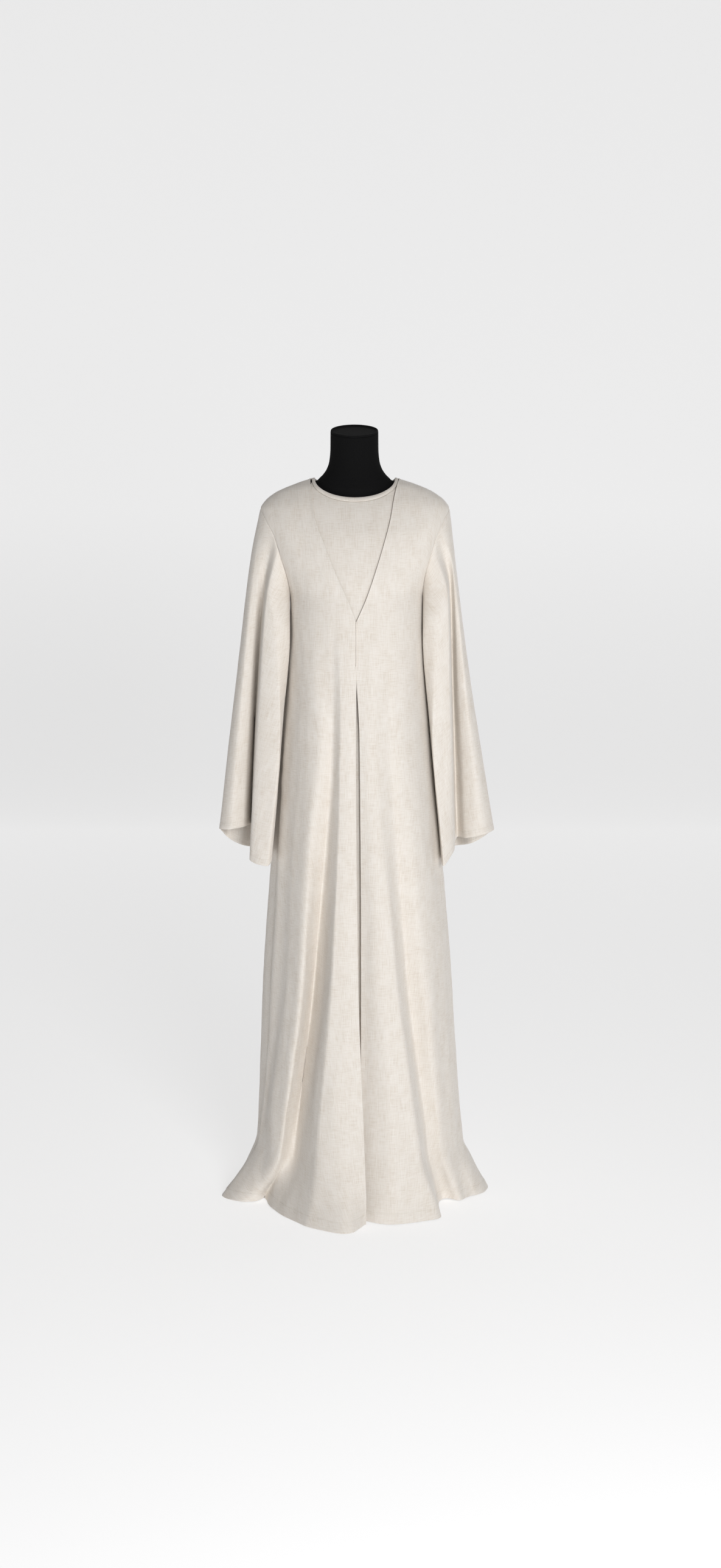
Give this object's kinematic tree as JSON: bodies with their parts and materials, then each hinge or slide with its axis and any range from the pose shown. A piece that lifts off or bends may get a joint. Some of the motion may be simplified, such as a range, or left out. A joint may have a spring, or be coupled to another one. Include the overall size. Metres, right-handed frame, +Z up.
{
  "type": "abaya on dress form",
  "caption": "Floor-length linen abaya with a V inset, centre slit and long bell sleeves, worn by a limbless dress form on a round stand.",
  "frame": {"origin": "centre of the stand's underside, on the floor", "axes": "+Z up, the front of the garment faces -Y, the wearer's left side is at +X"},
  "size_m": [0.553, 0.5218, 1.5523],
  "materials": {
    "linen": "plain-woven slubbed linen, oatmeal cream, matt",
    "form": "black jersey stretched over the form, matt",
    "form_cap": "black cap with a fine satin rim",
    "stand": "black powder coat"
  },
  "bodies": {
    "root": {"front_right": "linen", "front_left": "linen", "back": "linen", "front_inset": "linen", "neck_binding": "linen", "pleat_underlay": "linen", "sleeve_right": "linen", "sleeve_left": "linen", "form_torso": "form", "form_neck_cap": "form_cap", "form_pole": "stand", "form_base": "stand"}
  },
  "joints": []
}
